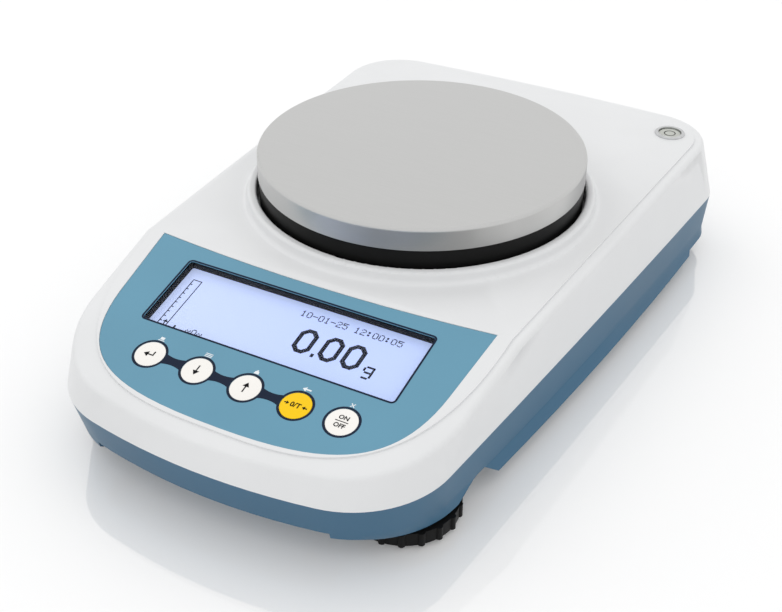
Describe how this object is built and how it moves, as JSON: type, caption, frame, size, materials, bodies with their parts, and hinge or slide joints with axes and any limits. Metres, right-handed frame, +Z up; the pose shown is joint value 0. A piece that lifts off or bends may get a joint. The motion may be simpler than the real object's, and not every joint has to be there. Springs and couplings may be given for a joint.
{
  "type": "laboratory balance",
  "caption": "Bench-top laboratory balance: flared moulded housing, sloped display and key panel, round steel pan over a black support in a raised collar, levelling feet, rear sockets.",
  "frame": {"origin": "on the table, below the middle of the housing", "axes": "+X to the operator's right, +Y to the rear (the front panel faces -Y), +Z up"},
  "size_m": [0.224, 0.35, 0.091],
  "materials": {
    "cover_white": "fine-textured moulded plastic",
    "tray_blue": "fine-textured moulded plastic",
    "film_blue": "satin printed film",
    "window_clear": "clear polycarbonate",
    "lcd_glass": "polarised glass",
    "backlight_white": "diffusing plastic",
    "black_plastic": "satin moulded plastic",
    "board_green": "solder mask",
    "pan_steel": "circular brushed",
    "rubber_black": "plain",
    "cast_aluminium": "blasted",
    "cell_aluminium": "milled",
    "screw_steel": "zinc plated",
    "insert_brass": "turned",
    "socket_metal": "plated sheet",
    "level_metal": "plated",
    "vial_clear": "clear, tinted liquid",
    "ribbon_grey": "plain",
    "key_white": "satin gloss",
    "key_yellow": "satin gloss"
  },
  "bodies": {
    "housing": {"top_cover": "cover_white", "base_tray": "tray_blue", "front_overlay": "film_blue", "display_window": "window_clear", "display_frame": "black_plastic", "lcd_glass": "lcd_glass", "backlight": "backlight_white", "display_board": "board_green", "display_screws": "screw_steel", "key_switches": "black_plastic", "load_cell": "cell_aluminium", "cell_mount": "cast_aluminium", "cell_screws": "screw_steel", "mount_screws": "screw_steel", "overload_stop": "screw_steel", "foot_inserts": "insert_brass", "case_screws": "screw_steel", "main_board": "board_green", "board_screws": "screw_steel", "serial_socket": "socket_metal", "serial_screwlocks": "screw_steel", "dc_socket": "black_plastic", "level_cup": "level_metal", "level_vial": "vial_clear", "display_ribbon": "ribbon_grey"},
    "load_receiver": {"load_post": "cast_aluminium", "load_post_screws": "screw_steel"},
    "pan_support": {"pan_support": "black_plastic", "pan_cushions": "rubber_black"},
    "weighing_pan": {"weighing_pan": "pan_steel"},
    "key_enter": {"key_enter": "key_white"},
    "key_down": {"key_down": "key_white"},
    "key_up": {"key_up": "key_white"},
    "key_zero": {"key_zero": "key_yellow"},
    "key_power": {"key_power": "key_white"},
    "foot_pad_front_left": {"foot_pad_front_left": "rubber_black"},
    "foot_wheel_front_left": {"foot_wheel_front_left": "black_plastic", "foot_stud_front_left": "screw_steel"},
    "foot_pad_front_right": {"foot_pad_front_right": "rubber_black"},
    "foot_wheel_front_right": {"foot_wheel_front_right": "black_plastic", "foot_stud_front_right": "screw_steel"},
    "foot_pad_rear_left": {"foot_pad_rear_left": "rubber_black"},
    "foot_wheel_rear_left": {"foot_wheel_rear_left": "black_plastic", "foot_stud_rear_left": "screw_steel"},
    "foot_pad_rear_right": {"foot_pad_rear_right": "rubber_black"},
    "foot_wheel_rear_right": {"foot_wheel_rear_right": "black_plastic", "foot_stud_rear_right": "screw_steel"}
  },
  "joints": [
    {"name": "weighing", "type": "slide", "parent": "housing", "child": "load_receiver", "axis": [0, 0, -1], "range_m": [0, 0.0003], "stiffness_N_per_m": 55000, "springref_m": -0.0002},
    {"name": "support_lift_off", "type": "slide", "parent": "load_receiver", "child": "pan_support", "axis": [0, 0, 1], "range_m": [0, 0.03]},
    {"name": "pan_lift_off", "type": "slide", "parent": "pan_support", "child": "weighing_pan", "axis": [0, 0, 1], "range_m": [0, 0.03]},
    {"name": "press_enter", "type": "slide", "parent": "housing", "child": "key_enter", "axis": [0, 0.2326, -0.9726], "range_m": [0, 0.0005], "stiffness_N_per_m": 2000, "springref_m": -0.0002},
    {"name": "press_down", "type": "slide", "parent": "housing", "child": "key_down", "axis": [0, 0.2326, -0.9726], "range_m": [0, 0.0005], "stiffness_N_per_m": 2000, "springref_m": -0.0002},
    {"name": "press_up", "type": "slide", "parent": "housing", "child": "key_up", "axis": [0, 0.2326, -0.9726], "range_m": [0, 0.0005], "stiffness_N_per_m": 2000, "springref_m": -0.0002},
    {"name": "press_zero", "type": "slide", "parent": "housing", "child": "key_zero", "axis": [0, 0.2326, -0.9726], "range_m": [0, 0.0005], "stiffness_N_per_m": 2000, "springref_m": -0.0002},
    {"name": "press_power", "type": "slide", "parent": "housing", "child": "key_power", "axis": [0, 0.2326, -0.9726], "range_m": [0, 0.0005], "stiffness_N_per_m": 2000, "springref_m": -0.0002},
    {"name": "foot_height_front_left", "type": "slide", "parent": "housing", "child": "foot_pad_front_left", "axis": [0, 0, -1], "range_m": [-0.001, 0.006]},
    {"name": "foot_turn_front_left", "type": "hinge", "parent": "foot_pad_front_left", "child": "foot_wheel_front_left", "pos_m": [-0.0687, -0.1224, 0], "axis": [0, 0, -1], "range_deg": [-285, 1720]},
    {"name": "foot_height_front_right", "type": "slide", "parent": "housing", "child": "foot_pad_front_right", "axis": [0, 0, -1], "range_m": [-0.001, 0.006]},
    {"name": "foot_turn_front_right", "type": "hinge", "parent": "foot_pad_front_right", "child": "foot_wheel_front_right", "pos_m": [0.0687, -0.1224, 0], "axis": [0, 0, -1], "range_deg": [-285, 1720]},
    {"name": "foot_height_rear_left", "type": "slide", "parent": "housing", "child": "foot_pad_rear_left", "axis": [0, 0, -1], "range_m": [-0.001, 0.006]},
    {"name": "foot_turn_rear_left", "type": "hinge", "parent": "foot_pad_rear_left", "child": "foot_wheel_rear_left", "pos_m": [-0.078, 0.137, 0], "axis": [0, 0, -1], "range_deg": [-285, 1720]},
    {"name": "foot_height_rear_right", "type": "slide", "parent": "housing", "child": "foot_pad_rear_right", "axis": [0, 0, -1], "range_m": [-0.001, 0.006]},
    {"name": "foot_turn_rear_right", "type": "hinge", "parent": "foot_pad_rear_right", "child": "foot_wheel_rear_right", "pos_m": [0.078, 0.137, 0], "axis": [0, 0, -1], "range_deg": [-285, 1720]}
  ],
  "couplings": [
    {"joint": "foot_height_front_left", "follows": "foot_turn_front_left", "m_per_rad": 0.00019894},
    {"joint": "foot_height_front_right", "follows": "foot_turn_front_right", "m_per_rad": 0.00019894},
    {"joint": "foot_height_rear_left", "follows": "foot_turn_rear_left", "m_per_rad": 0.00019894},
    {"joint": "foot_height_rear_right", "follows": "foot_turn_rear_right", "m_per_rad": 0.00019894}
  ]
}
